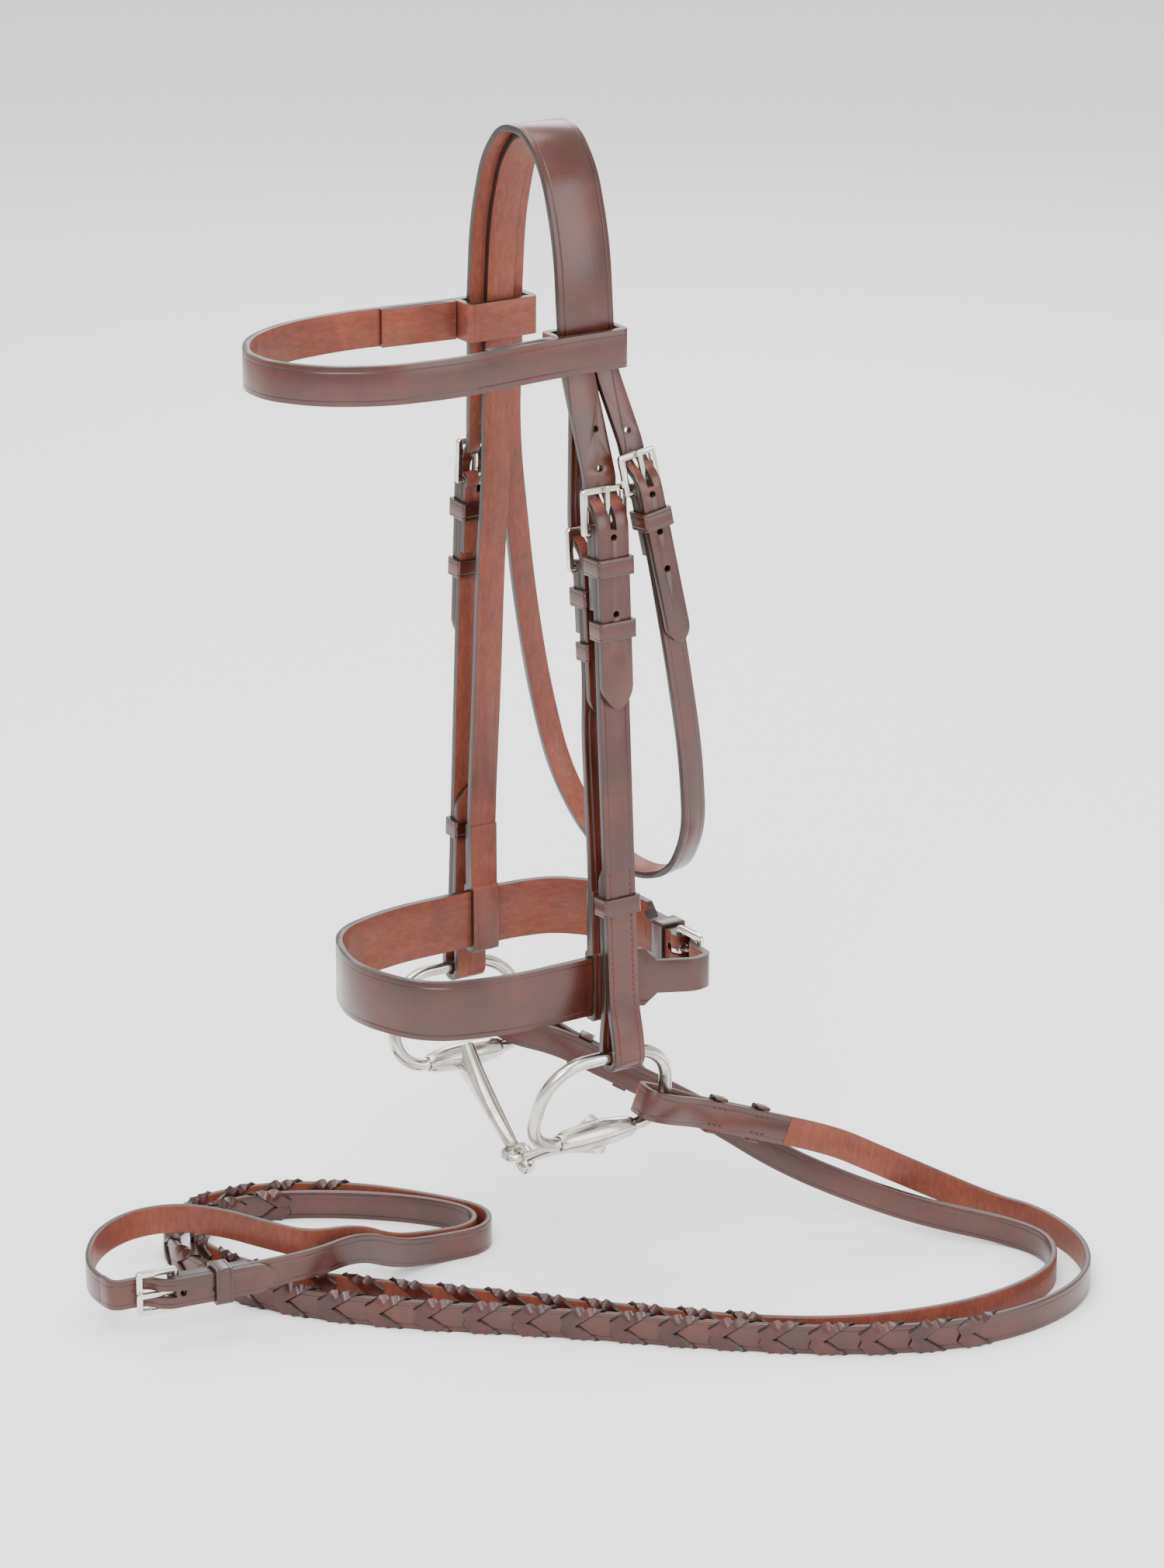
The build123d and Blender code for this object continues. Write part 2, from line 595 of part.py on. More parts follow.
stack = (level["low"], level["high"])
both_sides(buckle_frame(cheek_seat, cheek_width, cheek_reach), "cheek_buckle")
both_sides(buckle_tongue(cheek_seat, cheek_reach), "cheek_tongue")
both_sides(keeper(cheek_seat, 17.0, cheek_width, *stack), "cheek_keeper")
lower_stack = (level["body"] - half_leather, level["high"])
both_sides(keeper(cheek_seat, cheek_chape + 10.0, cheek_width, *lower_stack), "cheek_runner")
tab_stack = (inner_n - half_leather, level["body"] + half_leather)
both_sides(keeper(cheek_seat, cheek_length - 82.0, cheek_width, *tab_stack), "cheek_tab_keeper")

keep(buckle_frame(throat_seat, throat_width, throat_reach), "throatlash_buckle")
keep(buckle_tongue(throat_seat, throat_reach), "throatlash_tongue")
keep(keeper(throat_seat, 15.0, throat_width, *stack), "throatlash_keeper")

keep(buckle_frame(headstrap_seat, headstrap_width, headstrap_reach), "headstrap_buckle")
keep(buckle_tongue(headstrap_seat, headstrap_reach), "headstrap_tongue")
keep(keeper(headstrap_seat, 15.0, headstrap_width, *stack), "headstrap_keeper")
keep(keeper(headstrap_seat, headstrap_chape + 9.0, headstrap_width, *lower_stack), "headstrap_runner")

keep(buckle_frame(noseband_seat, noseband_tab_width, noseband_reach), "noseband_buckle")
keep(buckle_tongue(noseband_seat, noseband_reach), "noseband_tongue")
keep(keeper(noseband_seat, 15.0, noseband_tab_width, *stack), "noseband_keeper")

both_sides(hook_stud(cheek_seat, cheek_length - stud_place, level["body"] - half_leather - 0.02), "cheek_hook_stud")

# ---------- bit: two rings, two mouthpiece arms with their barrels ----------
ring_pivot = cheek_seat.from_local_coords((cheek_length, 0, fold_n))
ring_up = Vector(sin(radians(ring_lean)), 0, cos(radians(ring_lean)))
ring_foot = ring_pivot - ring_up * ring_height + Vector(0, ring_centre_y, 0)
ring_plane = Plane(origin=ring_foot, x_dir=(0, 1, 0), z_dir=Vector(0, 1, 0).cross(ring_up))
straight_half = barrel_length / 2 + 1
ring_outline = [
    (1, 0), (ring_foot_half, 0), (ring_top_half, ring_height), (-ring_top_half, ring_height), (-ring_foot_half, 0), (-1, 0)
]
side_turn = atan2(ring_height, ring_top_half - ring_foot_half)
foot_radius = (ring_foot_half - straight_half) / tan(side_turn / 2)
with BuildPart() as bit_ring:
    with BuildLine(ring_plane) as ring_wire:
        FilletPolyline(*ring_outline, radius=[foot_radius, ring_top_radius, ring_top_radius, foot_radius])
        Line((-1, 0), (1, 0))
    with BuildSketch(Plane(origin=ring_wire.wires()[0] @ 0, z_dir=ring_wire.wires()[0] % 0)):
        Circle(wire_radius)
    sweep(path=ring_wire.wires()[0])
both_sides(bit_ring.part, "bit_ring")

joint_centre = Vector(0, ring_foot.Y + mouth_back, ring_foot.Z - mouth_drop)
near_eye = joint_centre + Vector(eye_ring_radius - eye_wire_radius - eye_air / 2, 0, 0)
arm_way = (near_eye - ring_foot).normalized()
arm_length = (near_eye - ring_foot).length - eye_ring_radius
arm_plane = Plane(origin=ring_foot, z_dir=arm_way)


def mouthpiece_arm(eye_plane):
    """One arm: the barrel that the ring turns in, the tapered canon and its centre eye."""
    with BuildPart() as arm:
        with BuildSketch(Plane(origin=ring_foot, x_dir=(0, 1, 0), z_dir=ring_plane.z_dir)) as profile:
            with BuildLine():
                half = barrel_length / 2
                Polyline(
                    (-half, 0), (-half, wire_radius + 1.2), (-half + 2, wire_radius + 1.9),
                )
                ThreePointArc((-half + 2, wire_radius + 1.9), (0, barrel_radius + 0.8), (half - 2, wire_radius + 1.9))
                Polyline((half - 2, wire_radius + 1.9), (half, wire_radius + 1.2), (half, 0), (-half, 0))
            make_face()
        revolve(profile.sketch, axis=Axis(ring_foot, (0, 1, 0)))
        with BuildSketch(arm_plane) as profile:
            Ellipse(canon_root[1], canon_root[0])
        with BuildSketch(arm_plane.offset(arm_length * 0.38)) as middle:
            Circle(canon_middle)
        with BuildSketch(arm_plane.offset(arm_length + 0.8)) as end:
            Circle(canon_end)
        loft([profile.sketch, middle.sketch, end.sketch])
        with BuildSketch(Plane(origin=eye_plane.origin + eye_plane.x_dir * eye_ring_radius, x_dir=eye_plane.x_dir,
                               z_dir=eye_plane.y_dir)) as profile:
            Circle(eye_wire_radius)
        revolve(profile.sketch, axis=Axis(eye_plane.origin, eye_plane.z_dir))
        with BuildSketch(Plane(origin=ring_foot, z_dir=(0, 1, 0))) as profile:
            Circle(wire_radius + barrel_air)
        extrude(profile.sketch, amount=barrel_length, both=True, mode=Mode.SUBTRACT)
        with BuildSketch(Plane(origin=near_eye, x_dir=eye_plane.x_dir, z_dir=eye_plane.z_dir)) as profile:
            Circle(eye_ring_radius - eye_wire_radius)
        extrude(profile.sketch, amount=canon_end, both=True, mode=Mode.SUBTRACT)
    return arm.part


near_eye_plane = Plane(origin=near_eye, x_dir=(1, 0, 0), z_dir=(0, 1, 0))
far_eye_plane = Plane(origin=near_eye, x_dir=(1, 0, 0), z_dir=(0, 0, 1))
keep(mouthpiece_arm(near_eye_plane), "near_mouthpiece_arm")
with BuildPart() as far_arm:
    add(mouthpiece_arm(far_eye_plane).mirror(Plane.YZ))
keep(far_arm.part, "far_mouthpiece_arm")

# ---------- reins ----------
def rein_end_seat(side, along, hang, shift):
    """The plane of a rein's turned end, on the lower back corner of its bit ring."""
    around = radians(hang)
    place = ring_plane.from_local_coords(
        (straight_half + foot_radius * cos(around), foot_radius * (1 - sin(around)), 0)
    )
    along = Vector(*along).normalized()
    along = Vector(side * along.X, along.Y, along.Z)
    out = Vector(along.Y, -along.X, 0).normalized()
    return strap_seat(Vector(side * place.X, place.Y, place.Z) + out * shift, along, out)


def rein_end(seat, half):
    """The end of a rein turned round the ring, its billet lying on the inner side."""
    layer = (rein_leather + slip) / 2
    half = half + rein_leather / 2
    with BuildPart() as end:
        bend_strap(
            edge_view(seat),
            [(rein_end_length, layer), (24, layer), (2, half), (-rein_fold, half),
             (-rein_fold, -half), (2, -half), (24, -layer), (rein_tab, -layer)],
            rein_width, rein_leather, share=0.46,
        )
        trim_tip(seat, -layer, rein_tab, 1, rein_width, rein_leather)
        with BuildSketch(seat.offset(-layer)) as profile:
            with Locations((rein_stud, 0)):
                SlotOverall(8, 3.4)
        extrude(profile.sketch, amount=rein_leather / 2 + 0.1, both=True, mode=Mode.SUBTRACT)
    return end.part


def sloping_rein(points, heading, early=0.0, late=0.0):
    """A run of rein that climbs or sinks: its outline from above cut to its outline from the side."""
    print("sloping rein radii", [round(radius) for radius in bend_radii(points)])
    points = [Vector(*point) for point in points]
    heading = Vector(*heading).normalized()
    above = [points[0] - (points[1] - points[0]).normalized() * early] + points[1:]
    beside_it = points[:-1] + [points[-1] + (points[-1] - points[-2]).normalized() * late]
    middle = sum(point.Z for point in points) / len(points)
    side_plane = Plane(origin=(0, 0, 0), x_dir=heading, z_dir=heading.cross(Vector(0, 0, 1)))
    with BuildPart() as run:
        bend_strap(Plane.XY.offset(middle), [(point.X, point.Y) for point in above], 150, rein_leather)
        bend_strap(side_plane, [(point.dot(heading), point.Z) for point in beside_it], 900, rein_width,
                   mode=Mode.INTERSECT)
    return run.part


def flat_rein(points, height):
    """A run of rein on edge at one height, and the line along its middle."""
    plane = Plane.XY.offset(height)
    flat = [(point[0], point[1]) for point in points]
    with BuildPart() as run:
        bend_strap(plane, flat, rein_width, rein_leather)
    with BuildLine(plane) as line:
        FilletPolyline(*flat, radius=bend_radii(flat))
    print("rein radii", [round(radius) for radius in bend_radii(flat)])
    return run.part, line.wires()[0]


def halfway(first, second):
    return tuple((a + b) / 2 for a, b in zip(first, second))


def lacing(path, start, end):
    """The hand grips: one lace band after another round a rein."""
    count = int((end - start) / lace_pitch)
    with BuildPart() as laces:
        for index in range(count + 1):
            share = (start + index * lace_pitch) / path.length
            with BuildSketch(Plane(origin=path @ share, x_dir=(path % share).cross(Vector(0, 0, 1)),
                                   z_dir=path % share)) as profile:
                RectangleRounded(
                    rein_leather + 2 * lace_air + 2 * lace_leather, rein_width + 2 * lace_air + 2 * lace_leather, 0.9
                )
                Rectangle(rein_leather + 2 * lace_air, rein_width + 2 * lace_air, mode=Mode.SUBTRACT)
            extrude(profile.sketch, amount=lace_width / 2, both=True)
    return laces.part


near_rein_seat = rein_end_seat(1, near_rein_pull, near_rein_hang, 0)
far_rein_seat = rein_end_seat(-1, far_rein_pull, far_rein_hang, far_rein_shift)
floor_z = rein_floor + rein_width / 2
lift_z = floor_z + rein_lift
rein_seat = strap_seat((rein_bar[0], rein_bar[1], lift_z), (0.15, 0.9887, 0), (1, -0.1517, 0))
rein_plane = Plane.XY.offset(lift_z)

layer = (rein_leather + slip) / 2
near_start = near_rein_seat.from_local_coords((rein_end_length, 0, layer))
near_down = [tuple(near_start), tuple(near_start + near_rein_seat.x_dir * 30)] + near_down_points
near_split = halfway(near_floor_points[0], near_down_points[-1])
near_rise_split = halfway(near_floor_points[-1], near_rise_points[0])
near_finish = [tuple(rein_seat.from_local_coords((rein_chape + more, 0, rein_level["body"]))) for more in (34, 0)]
near_floor, near_path = flat_rein([near_split] + near_floor_points + [near_rise_split], floor_z)
with BuildPart() as near_rein:
    add(near_floor)
    add(sloping_rein(near_down + [near_split], (near_rein_seat.x_dir.X, near_rein_seat.x_dir.Y, 0), early=12))
    add(sloping_rein([near_rise_split] + near_rise_points + near_finish, (0, -1, 0), late=12))
keep(near_rein.part, "near_rein")

far_start = far_rein_seat.from_local_coords((rein_end_length, 0, layer))
far_down = [tuple(far_start), tuple(far_start + far_rein_seat.x_dir * 34)] + far_down_points
far_split = halfway(far_floor_points[0], far_down_points[-1])
far_rise_split = halfway(far_floor_points[-1], far_rise_points[0])
far_lift_split = halfway(far_rise_points[-1], far_lift_points[0])
billet_start = Vector(far_lift_points[-1][0], far_lift_points[-1][1], lift_z)
billet_corner = rein_seat.from_local_coords((-rein_reach - 15, 0, rein_level["under"]))
billet_join = halfway(billet_start, billet_corner)
far_floor, far_path = flat_rein([far_split] + far_floor_points + [far_rise_split], floor_z)
far_lift, lift_path = flat_rein([far_lift_split] + far_lift_points + [billet_join], lift_z)
with BuildPart() as far_rein:
    add(far_floor)
    add(far_lift)
    add(sloping_rein(far_down + [far_split], (far_rein_seat.x_dir.X, far_rein_seat.x_dir.Y, 0), early=12))
    add(sloping_rein([far_rise_split] + far_rise_points + [far_lift_split], (0, -1, 0)))
keep(far_rein.part, "far_rein")
for name, path in (("near", near_path), ("far", far_path), ("lift", lift_path)):
    print(name, "rein's flat run", round(path.length, 1))

for seat, side in ((near_rein_seat, "near"), (far_rein_seat, "far")):
    keep(rein_end(seat, rein_gap[side]), f"{side}_rein_end")
    tab = (-rein_leather - slip / 2, rein_leather + slip / 2)
    for name, place in (("keeper", rein_tab - 42), ("runner", rein_tab - 14)):
        loop = sewn_loop(seat, place, rein_width, *tab, rein_loop_length, 0.6 * rein_leather)
        keep(loop, f"{side}_rein_end_{name}")
    keep(hook_stud(seat, rein_stud, slip / 2 - 0.02), f"{side}_rein_hook_stud")
keep(lacing(near_path, *near_lacing), "near_rein_laces")
keep(lacing(far_path, *far_lacing), "far_rein_laces")

with BuildPart() as rein_chape_part:
    chape(rein_seat, rein_width, rein_chape, rein_leather)
keep(rein_chape_part.part, "rein_chape")
keep(buckle_frame(rein_seat, rein_width, rein_reach), "rein_buckle")
keep(buckle_tongue(rein_seat, rein_reach), "rein_tongue")
billet_line = [flat_point(rein_seat, rein_plane, s, n) for s, n in
               [(rein_billet_tip, rein_level["billet"])] + billet_rise(rein_reach, rein_leather, 2.9)[::-1]]
billet_line.append((billet_corner.X, billet_corner.Y))
billet_line.append(billet_join[:2])
with BuildPart() as rein_billet:
    bend_strap(rein_plane, billet_line, rein_width, rein_leather)
    trim_tip(rein_seat, rein_level["billet"], rein_billet_tip, 1, rein_width, rein_leather)
    punch(rein_seat, [first_hole, first_hole + hole_pitch], rein_level["billet"], rein_leather)
    billet_slot(rein_seat, rein_reach, rein_leather)
keep(rein_billet.part, "rein_billet")
keep(keeper(rein_seat, 24.0, rein_width, rein_level["low"], rein_level["high"]), "rein_keeper")
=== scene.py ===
import json
from math import cos, pi, radians, sin

import bpy
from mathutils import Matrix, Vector
from mathutils.bvhtree import BVHTree


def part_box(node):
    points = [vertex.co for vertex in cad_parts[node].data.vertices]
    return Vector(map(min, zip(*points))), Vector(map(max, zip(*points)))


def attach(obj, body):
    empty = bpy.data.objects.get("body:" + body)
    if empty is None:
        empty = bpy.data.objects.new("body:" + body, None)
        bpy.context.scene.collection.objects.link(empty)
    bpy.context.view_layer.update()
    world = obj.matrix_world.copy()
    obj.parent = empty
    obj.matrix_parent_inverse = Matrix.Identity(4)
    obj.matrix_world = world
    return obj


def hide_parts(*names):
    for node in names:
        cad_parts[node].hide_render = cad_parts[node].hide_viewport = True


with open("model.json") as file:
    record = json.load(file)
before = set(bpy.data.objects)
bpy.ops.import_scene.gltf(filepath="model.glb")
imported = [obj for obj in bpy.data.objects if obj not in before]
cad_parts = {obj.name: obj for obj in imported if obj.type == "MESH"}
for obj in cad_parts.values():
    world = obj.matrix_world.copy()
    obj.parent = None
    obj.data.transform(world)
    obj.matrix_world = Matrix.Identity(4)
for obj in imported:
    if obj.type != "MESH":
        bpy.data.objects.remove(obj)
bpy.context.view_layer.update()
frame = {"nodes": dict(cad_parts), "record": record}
nodes = frame["nodes"]
bodyOf = {node: body for body, members in frame["record"]["behaviour"]["bodies"].items() for node in members}
slotOf = {part["node"]: part["material_slot"] for part in frame["record"]["subparts"]}
bpy.ops.object.select_all(action="DESELECT")

# camera, from the near side and a little above
view = {
    "azimuth": 57, "elevation": 19, "distance": 2.6, "target": (0, 0.026, -0.35), "lens": 112.6, "sensor": 36,
}
turn, rise = radians(view["azimuth"]), radians(view["elevation"])
back = Vector((sin(turn) * cos(rise), -cos(turn) * cos(rise), sin(rise)))
bpy.ops.object.camera_add(location=Vector(view["target"]) + back * view["distance"])
camera = bpy.context.object
camera.rotation_euler = back.to_track_quat("Z", "Y").to_euler()
camera.data.lens = view["lens"]
camera.data.sensor_width = view["sensor"]
bpy.context.scene.camera = camera
print("camera ready")


# shared making
def toLinear(hexColour):
    parts = [int(hexColour[place:place + 2], 16) / 255 for place in (1, 3, 5)]
    return [part / 12.92 if part <= 0.04045 else ((part + 0.055) / 1.055) ** 2.4 for part in parts] + [1]


def addNode(tree, kind, values={}, wires={}, **settings):
    node = tree.nodes.new(kind)
    for name, value in settings.items():
        setattr(node, name, value)
    for name, value in values.items():
        node.inputs[name].default_value = value
    for name, output in wires.items():
        tree.links.new(output, node.inputs[name])
    return node


def newMaterial(name):
    material = bpy.data.materials.new(name)
    material.use_nodes = True
    tree = material.node_tree
    return material, tree, tree.nodes["Principled BSDF"]


def setRamp(ramp, stops):
    while len(ramp.elements) < len(stops):
        ramp.elements.new(0.5)
    for element, (place, colour) in zip(ramp.elements, stops):
        element.position = place
        element.color = toLinear(colour)


# bridle leather: drum-dyed cowhide, waxed and polished on the grain side, fibrous on the flesh side,
# with a creasing line pressed near each edge and painted near-black as the shade in its groove,
# and the cut edge stained dark and burnished
leather = {
    "grain": [(0.25, "#2b0e08"), (0.5, "#40170e"), (0.75, "#552417")],
    "flesh": [(0.3, "#4a1c10"), (0.5, "#6b2e1a"), (0.72, "#854126")],
    "edge": [(0.3, "#0f0704"), (0.7, "#2a180e")],
    "mottle": 0.045,      # metres across one cloud of the dye
    "pore": 0.0014,       # grain pores are near 0.4 mm, drawn coarser so that they show
    "fibre": 0.0022,
    "creaseWidth": 0.00055,
    "grainRough": 0.3,
    "fleshRough": 0.72,
    "edgeRough": 0.48,
    # painted shade along the creasing groove
    "creaseColour": "#180806",
    "creaseDepth": 1.6,      # beside the pores and fibres, which count as 0.35
    "skinDepth": 0.35,
    "bump": 0.0006,
    "coat": 0.25,            # wax polish
    "coatRough": 0.22,
    "ior": 1.5,
}


def strapLeather(name, look):
    material, tree, shader = newMaterial(name)
    place = addNode(tree, "ShaderNodeTexCoord").outputs["Object"]
    if "line" in look:      # reins carry their own map: u along, v across, and which side a point is on
        uv = addNode(tree, "ShaderNodeUVMap", uv_map=look["line"])
        across = addNode(tree, "ShaderNodeSeparateXYZ", wires={0: uv.outputs[0]}).outputs[1]
        side = addNode(tree, "ShaderNodeAttribute", attribute_name="side").outputs["Fac"]
        sideSize = addNode(tree, "ShaderNodeMath", wires={0: side}, operation="ABSOLUTE").outputs[0]
        edge = addNode(
            tree, "ShaderNodeMapRange", {1: 0.95, 2: 0.6, 3: 0.0, 4: 1.0}, {0: sideSize}
        ).outputs[0]
        grainSide = addNode(tree, "ShaderNodeMapRange", {1: -0.3, 2: 0.3}, {0: side}).outputs[0]
    else:
        offset = addNode(tree, "ShaderNodeVectorMath", {1: look["centre"]}, {0: place}, operation="SUBTRACT")
        across = addNode(
            tree, "ShaderNodeVectorMath", {1: look["across"]}, {0: offset.outputs[0]}, operation="DOT_PRODUCT"
        ).outputs["Value"]
        normal = addNode(tree, "ShaderNodeNewGeometry").outputs["Normal"]
        facing = addNode(
            tree, "ShaderNodeVectorMath", {1: look["across"]}, {0: normal}, operation="DOT_PRODUCT"
        ).outputs["Value"]
        facing = addNode(tree, "ShaderNodeMath", wires={0: facing}, operation="ABSOLUTE").outputs[0]
        edge = addNode(tree, "ShaderNodeMapRange", {1: 0.45, 2: 0.75}, {0: facing}).outputs[0]
        out = addNode(tree, "ShaderNodeVectorMath", {1: look["core"]}, {0: place}, operation="SUBTRACT")
        out = addNode(
            tree, "ShaderNodeVectorMath", {1: look["round"]}, {0: out.outputs[0]}, operation="MULTIPLY"
        )
        out = addNode(tree, "ShaderNodeVectorMath", wires={0: out.outputs[0]}, operation="NORMALIZE")
        outward = addNode(
            tree, "ShaderNodeVectorMath", wires={0: out.outputs[0], 1: normal}, operation="DOT_PRODUCT"
        ).outputs["Value"]
        grainSide = addNode(tree, "ShaderNodeMapRange", {1: -0.25, 2: 0.05}, {0: outward}).outputs[0]
    distance = addNode(tree, "ShaderNodeMath", wires={0: across}, operation="ABSOLUTE").outputs[0]
    fromCrease = addNode(
        tree, "ShaderNodeMath", {1: look["half"] - look["inset"]}, {0: distance}, operation="SUBTRACT"
    ).outputs[0]
    fromCrease = addNode(tree, "ShaderNodeMath", wires={0: fromCrease}, operation="ABSOLUTE").outputs[0]
    crease = addNode(
        tree, "ShaderNodeMapRange", {1: 0.0, 2: leather["creaseWidth"], 3: 1.0, 4: 0.0}, {0: fromCrease}
    ).outputs[0]
    crease = addNode(tree, "ShaderNodeMath", wires={0: crease, 1: grainSide}, operation="MULTIPLY").outputs[0]
    mottle = addNode(
        tree, "ShaderNodeTexNoise", {"Scale": 1 / leather["mottle"], "Detail": 5.0, "Roughness": 0.6},
        {"Vector": place},
    ).outputs["Fac"]
    pores = addNode(
        tree, "ShaderNodeTexNoise", {"Scale": 1 / leather["pore"], "Detail": 2.0}, {"Vector": place}
    ).outputs["Fac"]
    stretched = addNode(
        tree, "ShaderNodeMapping", {"Scale": look.get("fibres", (1, 1, 0.35))}, {"Vector": place}
    )
    fibres = addNode(
        tree, "ShaderNodeTexNoise", {"Scale": 1 / leather["fibre"], "Detail": 4.0, "Roughness": 0.7},
        {"Vector": stretched.outputs[0]},
    ).outputs["Fac"]
    grainColour = addNode(tree, "ShaderNodeValToRGB", wires={0: mottle})
    setRamp(grainColour.color_ramp, leather["grain"])
    fleshMix = addNode(tree, "ShaderNodeMath", wires={0: mottle, 1: fibres}, operation="ADD")
    fleshHalf = addNode(
        tree, "ShaderNodeMath", {1: 0.5}, {0: fleshMix.outputs[0]}, operation="MULTIPLY"
    ).outputs[0]
    fleshColour = addNode(tree, "ShaderNodeValToRGB", wires={0: fleshHalf})
    setRamp(fleshColour.color_ramp, leather["flesh"])
    edgeColour = addNode(tree, "ShaderNodeValToRGB", wires={0: fibres})
    setRamp(edgeColour.color_ramp, leather["edge"])
    faceColour = addNode(
        tree, "ShaderNodeMix", wires={0: grainSide, 6: fleshColour.outputs[0], 7: grainColour.outputs[0]},
        data_type="RGBA",
    ).outputs[2]
    # the creasing line darkened with painted shade of its groove
    creaseShaded = addNode(
        tree, "ShaderNodeMix", {7: toLinear(leather["creaseColour"])}, {0: crease, 6: faceColour},
        data_type="RGBA",
    ).outputs[2]
    whole = addNode(
        tree, "ShaderNodeMix", wires={0: edge, 6: creaseShaded, 7: edgeColour.outputs[0]}, data_type="RGBA"
    ).outputs[2]
    tree.links.new(whole, shader.inputs["Base Color"])
    faceRough = addNode(
        tree, "ShaderNodeMapRange", {3: leather["fleshRough"], 4: leather["grainRough"]}, {0: grainSide}
    ).outputs[0]
    waxed = addNode(tree, "ShaderNodeMapRange", {1: 0.3, 2: 0.7, 3: -0.05, 4: 0.07}, {0: mottle}).outputs[0]
    faceRough = addNode(tree, "ShaderNodeMath", wires={0: faceRough, 1: waxed}, operation="ADD").outputs[0]
    rough = addNode(tree, "ShaderNodeMix", {3: leather["edgeRough"]}, {0: edge, 2: faceRough}).outputs[0]
    tree.links.new(rough, shader.inputs["Roughness"])
    groove = addNode(
        tree, "ShaderNodeMath", {1: -leather["creaseDepth"]}, {0: crease}, operation="MULTIPLY"
    ).outputs[0]
    skin = addNode(tree, "ShaderNodeMix", wires={0: grainSide, 2: fibres, 3: pores}).outputs[0]
    height = addNode(
        tree, "ShaderNodeMath", {1: leather["skinDepth"]}, {0: skin, 2: groove}, operation="MULTIPLY_ADD"
    ).outputs[0]
    bump = addNode(
        tree, "ShaderNodeBump", {"Strength": 0.35, "Distance": leather["bump"]}, {"Height": height}
    ).outputs[0]
    tree.links.new(bump, shader.inputs["Normal"])
    shader.inputs["Coat Weight"].default_value = leather["coat"]
    shader.inputs["Coat Roughness"].default_value = leather["coatRough"]
    shader.inputs["IOR"].default_value = leather["ior"]
    return material


def plainMetal(name, colour, smudged, rough, smudge):
    material, tree, shader = newMaterial(name)
    place = addNode(tree, "ShaderNodeTexCoord").outputs["Object"]
    cloud = addNode(
        tree, "ShaderNodeTexNoise", {"Scale": 1 / smudge, "Detail": 5.0, "Roughness": 0.65}, {"Vector": place}
    ).outputs["Fac"]
    tint = addNode(tree, "ShaderNodeValToRGB", wires={0: cloud})
    setRamp(tint.color_ramp, [(0.3, smudged), (0.62, colour)])
    tree.links.new(tint.outputs[0], shader.inputs["Base Color"])
    finish = addNode(
        tree, "ShaderNodeMapRange", {1: 0.3, 2: 0.7, 3: rough * 1.7, 4: rough * 0.7}, {0: cloud}
    ).outputs[0]
    tree.links.new(finish, shader.inputs["Roughness"])
    scratch = addNode(
        tree, "ShaderNodeTexNoise", {"Scale": 900.0, "Detail": 3.0}, {"Vector": place}
    ).outputs["Fac"]
    bump = addNode(
        tree, "ShaderNodeBump", {"Strength": 0.05, "Distance": 0.0002}, {"Height": scratch}
    ).outputs[0]
    tree.links.new(bump, shader.inputs["Normal"])
    shader.inputs["Metallic"].default_value = 1.0
    return material


# nickel plate over brass: bright, a little warm, mirror polished
nickelPlate = plainMetal("Polished nickel plate", "#e6e2d8", "#bdb7ab", 0.13, 0.012)
# forged stainless steel: polished, slightly grey, rubbed satin in patches
stainless = plainMetal("Polished stainless steel", "#dedad1", "#aca79d", 0.17, 0.02)
# brass hook studs: pale gold, polished
paleBrass = plainMetal("Polished pale brass", "#ecd6a0", "#c7a96a", 0.2, 0.006)


def laceLeatherMaterial():
    # latigo lace: thin oiled leather, darker than the reins, its cut edges darker again
    material, tree, shader = newMaterial("Oiled latigo lace")
    place = addNode(tree, "ShaderNodeTexCoord").outputs["Object"]
    side = addNode(tree, "ShaderNodeAttribute", attribute_name="side").outputs["Fac"]
    cloud = addNode(
        tree, "ShaderNodeTexNoise", {"Scale": 70.0, "Detail": 5.0}, {"Vector": place}
    ).outputs["Fac"]
    tint = addNode(tree, "ShaderNodeValToRGB", wires={0: cloud})
    setRamp(tint.color_ramp, [(0.3, "#260b07"), (0.5, "#3a120b"), (0.75, "#4f1f15")])
    mask = addNode(tree, "ShaderNodeMapRange", {1: 0.6, 2: 0.95}, {0: side}).outputs[0]
    whole = addNode(
        tree, "ShaderNodeMix", {6: toLinear("#150806")}, {0: mask, 7: tint.outputs[0]}, data_type="RGBA"
    ).outputs[2]
    tree.links.new(whole, shader.inputs["Base Color"])
    pores = addNode(
        tree, "ShaderNodeTexNoise", {"Scale": 800.0, "Detail": 2.0}, {"Vector": place}
    ).outputs["Fac"]
    bump = addNode(
        tree, "ShaderNodeBump", {"Strength": 0.25, "Distance": 0.0004}, {"Height": pores}
    ).outputs[0]
    tree.links.new(bump, shader.inputs["Normal"])
    finish = addNode(tree, "ShaderNodeMapRange", {3: 0.28, 4: 0.42}, {0: cloud}).outputs[0]
    tree.links.new(finish, shader.inputs["Roughness"])
    shader.inputs["Coat Weight"].default_value = 0.15
    return material


def threadMaterial(name, light, dark):
    # waxed linen thread: matt, two plies that show as fine slanting bands, the dark tone painted in as the
    # shade between the plies
    material, tree, shader = newMaterial(name)
    place = addNode(tree, "ShaderNodeTexCoord").outputs["Object"]
    ply = addNode(
        tree, "ShaderNodeTexWave", {"Scale": 900.0, "Distortion": 1.0}, {"Vector": place},
        bands_direction="DIAGONAL",
    ).outputs["Fac"]
    tint = addNode(tree, "ShaderNodeValToRGB", wires={0: ply})
    # dark bands: painted shade in the grooves between the plies
    setRamp(tint.color_ramp, [(0.2, dark), (0.8, light)])
    tree.links.new(tint.outputs[0], shader.inputs["Base Color"])
    bump = addNode(tree, "ShaderNodeBump", {"Strength": 0.3, "Distance": 0.0002}, {"Height": ply}).outputs[0]
    tree.links.new(bump, shader.inputs["Normal"])
    shader.inputs["Roughness"].default_value = 0.7
    return material
